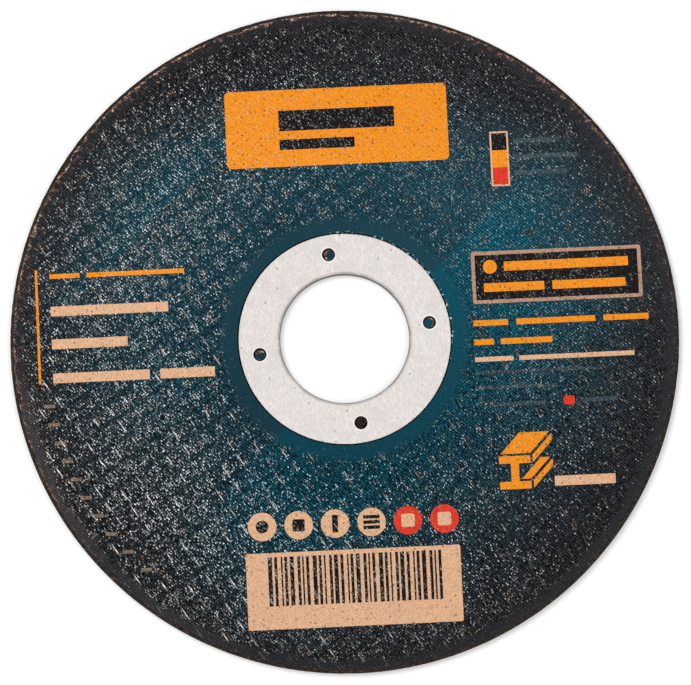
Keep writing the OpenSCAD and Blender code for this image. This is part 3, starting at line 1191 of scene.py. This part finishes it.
# %% Small tags along the rim
ROW_COUNT = 10
ROW_TOP_Y, ROW_STEP, ROW_RIM_GAP = -9.4, 3.2, 4.6
row_tags = []
for k in range(ROW_COUNT):
    y = ROW_TOP_Y - ROW_STEP * k
    x = -math.sqrt((wheel_r - ROW_RIM_GAP) ** 2 - y * y)
    row_tags.append(bar(x, y, 1.9, 0.6))
print(len(row_tags), "tags")

# %% Size box, swatch and panel
BOX_LEFT, BOX_RIGHT, BOX_LOW, BOX_HIGH, FRAME_W = 22.35, 51.6, 4.95, 14.0, 0.62
box_middle = ((BOX_LEFT + BOX_RIGHT) / 2, (BOX_LOW + BOX_HIGH) / 2)
box_sides = (BOX_RIGHT - BOX_LEFT, BOX_HIGH - BOX_LOW)
size_box = [round_box(*box_middle, *box_sides, 0.4)]
box_core = [round_box(*box_middle, *[side - 2 * FRAME_W for side in box_sides], 0.2)]
box_bars = [dot(BOX_LEFT + 3.2, 11.3, 1.2, 28)] + row(BOX_LEFT, 11.3, 1.6, (5.6, 21.4))
box_bars += row(BOX_LEFT, 7.7, 1.5, (2.0, 10.4), (13.8, 12.6))
SWATCH_X, SWATCH_TOP, SWATCH_W, SWATCH_H = 26.9, 34.6, 2.6, 3.0
swatch_back = [round_box(
    SWATCH_X + SWATCH_W / 2,
    SWATCH_TOP - 1.5 * SWATCH_H,
    SWATCH_W + 0.6,
    3 * SWATCH_H + 0.6,
    0.2,
)]
swatch = [bar(SWATCH_X, SWATCH_TOP - SWATCH_H * (k + 0.5), SWATCH_W, SWATCH_H) for k in range(3)]
PANEL_X, PANEL_Y, PANEL_W, PANEL_H = -0.3, -42.9, 36.7, 13.1
panel = [round_box(PANEL_X, PANEL_Y, PANEL_W, PANEL_H, 0.3)]
stripes = []
x = PANEL_X - 14.6
for k in range(40):
    width = (0.28, 0.5, 0.22, 0.32)[k * k % 4] if k % 4 else 0.7
    stripes.append(bar(x, PANEL_Y + 1.6, width, 8.4))
    x += width + (0.4, 0.62, 0.32)[k * 7 % 3]
    if x > PANEL_X + 15.4:
        break
print(len(stripes), "stripes on the panel")

# %% A beam, as the sign for metal
BEAM_X, BEAM_Y = 25.4, -27.3
DEPTH_X, DEPTH_Y = 3.4, 3.6
beam_end = [
    (0.0, 0.0), (5.4, 0.0), (5.4, 1.3), (3.4, 1.3), (3.4, 4.4), (5.4, 4.4),
    (5.4, 5.7), (0.0, 5.7), (0.0, 4.4), (2.0, 4.4), (2.0, 1.3), (0.0, 1.3),
]
beam_edges = [
    ((0.3, 6.1), (5.4, 6.1)), ((5.8, 4.5), (5.8, 5.8)),
    ((3.8, 1.7), (5.4, 1.7)), ((5.8, 0.1), (5.8, 1.4)),
]


def swept(a, b):
    """The face that an edge leaves when it is moved back along the beam."""
    return [a, b, (b[0] + DEPTH_X, b[1] + DEPTH_Y), (a[0] + DEPTH_X, a[1] + DEPTH_Y)]


beam_faces = [beam_end] + [swept(a, b) for a, b in beam_edges]
beam = [[(BEAM_X + x, BEAM_Y + y) for x, y in face] for face in beam_faces]
print("beam of", len(beam), "faces")

# %% [markdown]
# ### Laying the films
# A press prints one ink after another. Here each ink is one piece, and its layer says how many films it
# lies on, so that a dark bar stands a hair above the plate under it and neither flickers through the other.

# %% Lay the films
ink_film("orange_print", plate + rule + left_orange + right_orange + beam, ORANGE)
ink_film("sand_print", left_sand + right_sand + pale_spots + panel + word_bar + swatch_back, SAND)
ink_film("dull_sand_print", size_box, DULL_SAND)
ink_film("faded_sand_print", row_tags, FADED_SAND)
ink_film("red_print", red_spots + right_red + swatch[2:], RED, 2)
ink_film("grey_print", right_grey, GREY)
ink_film("black_print", plate_bars + spot_marks + box_core + stripes + swatch[:1], BLACK, 2)
ink_film("red_spot_cores", red_cores, SAND, 3)
ink_film("orange_print_on_black", box_bars + swatch[1:2], ORANGE, 3)

# %% [markdown]
# ## Grit
# The bare body is dark resin full of grain, with brown fibre and a few bright crystals, whose pale colour
# also stands in for painted glints. One noise for the lumps, one sparse noise for the crystals and one for
# the brown give all three. On the back the glass threads are rubbed paler than the grit in their windows,
# so the finish follows the same two sets of lines as the mesh: each thread is pale where it goes over the
# other and fades where it dips under.

# %% Finish of the abrasive
grit_finish, w, shader = new_finish("abrasive grit")
place = millimetres(w)
lumps = w.noise(place, 2.2, 4.0, 0.7)
fine = w.noise(place, 6.0, 2.0)
grit = w.mix(w.span(lumps, 0.3, 0.7), rgb(16, 13, 12), rgb(54, 46, 41))
grit = w.mix(w.span(w.noise(place, 1.1, 3.0, 0.7), 0.60, 0.72, 0.0, 0.7), grit, rgb(104, 72, 54))
# Bright crystals: pale grains, partly painted glints.
grit = w.mix(w.span(fine, 0.66, 0.74, 0.0, 0.8), grit, rgb(168, 166, 160))
back_cell = w.vector("DIVIDE", turned_by(w, place, BACK_TURN), (BACK_PITCH,) * 3)
middles = w.vector("FLOOR", w.vector("ADD", back_cell, HALF))
along = w.axes(back_cell)
middle = w.axes(middles)
aside = w.axes(w.vector("ABSOLUTE", w.vector("SUBTRACT", back_cell, middles)))


def thread_top(run, own, over):
    """Where one set of threads is rubbed: narrow lines that fade where the other set goes over."""
    turn = w.times(w.plus(along[run], middle[own]), math.pi)
    shown = w.line(w.math("COSINE", turn), over, 0.6)
    return w.times(w.fall(aside[own], 0.06, 0.2), shown)


radius = w.measure("LENGTH", w.vector("MULTIPLY", place, (1, 1, 0)))
rubbed = w.times(
    w.math("MAXIMUM", thread_top(1, 0, 0.4), thread_top(0, 1, -0.4)),
    w.span(radius, *MIDDLE_EDGE),
    w.fall(radius, *RIM_EDGE),
    w.fall(w.axes(place)["Z"], 0.1, 0.2),
    w.span(lumps, 0.36, 0.6, 0.15, 0.8),
)
w.feed(shader.inputs["Base Color"], w.mix(rubbed, grit, rgb(134, 124, 112)))
w.feed(shader.inputs["Roughness"], w.span(fine, 0.3, 0.75, 0.85, 0.35))
shader.inputs["Specular IOR Level"].default_value = 0.15
add_bumps(w, shader, w.plus(lumps, fine), 0.7, 0.1)
body.data.materials.append(grit_finish)
print("grit on", body.name)

# %% [markdown]
# ## The steel ring
# The ring keeps its CAD shape, which has the true bend, lips and rounded mouths. Bright tinned steel sheet
# shows fine lines from rolling, faint clouds and small dark specks. Stretched noise makes the lines. Round
# each anchor the mouth is pale, partly burnished by the punch and partly a painted highlight, and painted
# shade darkens the wall of the hole. Painted shade also darkens the bend near the bore and the drawn collar
# and lips below the flange. These go by distance, so that the CAD mesh needs no change.

# %% Finish of the ring
ROLLING_TURN = math.radians(14)
steel_finish, w, shader = new_finish("bright sheet steel")
place = millimetres(w)
flat = w.vector("MULTIPLY", place, (1, 1, 0))
radius = w.measure("LENGTH", flat)
lines = w.noise(w.vector("MULTIPLY", turned_by(w, place, ROLLING_TURN), (7.0, 1.2, 1)), 1.0, 3.0, 0.6)
clouds = w.noise(place, 0.4, 3.0)
steel = w.mix(w.span(lines, 0.3, 0.7), rgb(220, 214, 211), rgb(250, 244, 241))
steel = w.mix(w.span(clouds, 0.4, 0.7, 0.0, 0.4), steel, rgb(218, 212, 209))
steel = w.mix(w.span(w.noise(place, 2.6, 3.0, 0.7), 0.42, 0.66, 0.0, 0.6), steel, rgb(220, 213, 209))
# Painted shade on the bend near the bore.
bend_shade = w.times(w.span(radius, bore_r + 0.2, bore_r + 0.7, 0.6, 0.0), w.span(clouds, 0.3, 0.6, 0.5, 1.0))
steel = w.mix(bend_shade, steel, rgb(128, 125, 123))
spot, luck = dots(w, place, 2.2, 2.2, 0.1)
steel = w.mix(w.times(spot, w.span(luck, 0.78, 0.95, 0.0, 0.7)), steel, rgb(84, 78, 74))
print("finish:", steel_finish.name)

# %% Holes and collar of the ring
from_anchor = flange_r
for x, y in anchor_places:
    from_anchor = w.math("MINIMUM", from_anchor, w.measure("DISTANCE", flat, (x, y, 0)))
# Pale mouth round each anchor: partly burnish, partly a painted highlight.
burnish_and_highlight = w.fall(from_anchor, ANCHOR_HOLE_R + 0.2, ANCHOR_HOLE_R + 0.38)
burnish_and_highlight = w.times(burnish_and_highlight, w.span(w.noise(place, 0.9, 1.0), 0.35, 0.6, 0.4, 1.0))
steel = w.mix(burnish_and_highlight, steel, rgb(255, 255, 253))
# Painted shade on the wall of each anchor hole.
hole_wall_shade = w.fall(from_anchor, ANCHOR_HOLE_R + 0.05, ANCHOR_HOLE_R + 0.13)
steel = w.mix(hole_wall_shade, steel, rgb(22, 19, 18))
# Painted shade where the bend, collar and lips slope down below the flange: grey at the bore, nearly black
# in the holes.
collar_shade = w.fall(w.axes(place)["Z"], paper_z + 0.06, ring_high.z - 0.06)
collar_shade = w.times(collar_shade, w.fall(radius, flange_r - 0.9, flange_r - 0.6))
shade_colour = w.mix(w.span(radius, bore_r + 0.9, bore_r + 1.2), rgb(104, 101, 100), rgb(44, 39, 37))
w.feed(shader.inputs["Base Color"], w.mix(collar_shade, steel, shade_colour))
shader.inputs["Metallic"].default_value = 1.0
w.feed(shader.inputs["Roughness"], w.span(lines, 0.25, 0.75, 0.46, 0.6))
add_bumps(w, shader, lines, 0.15, 0.02)
ring = frame["nodes"]["arbor_ring"]
ring.data.materials.clear()
ring.data.materials.append(steel_finish)
print("steel on", ring.name)
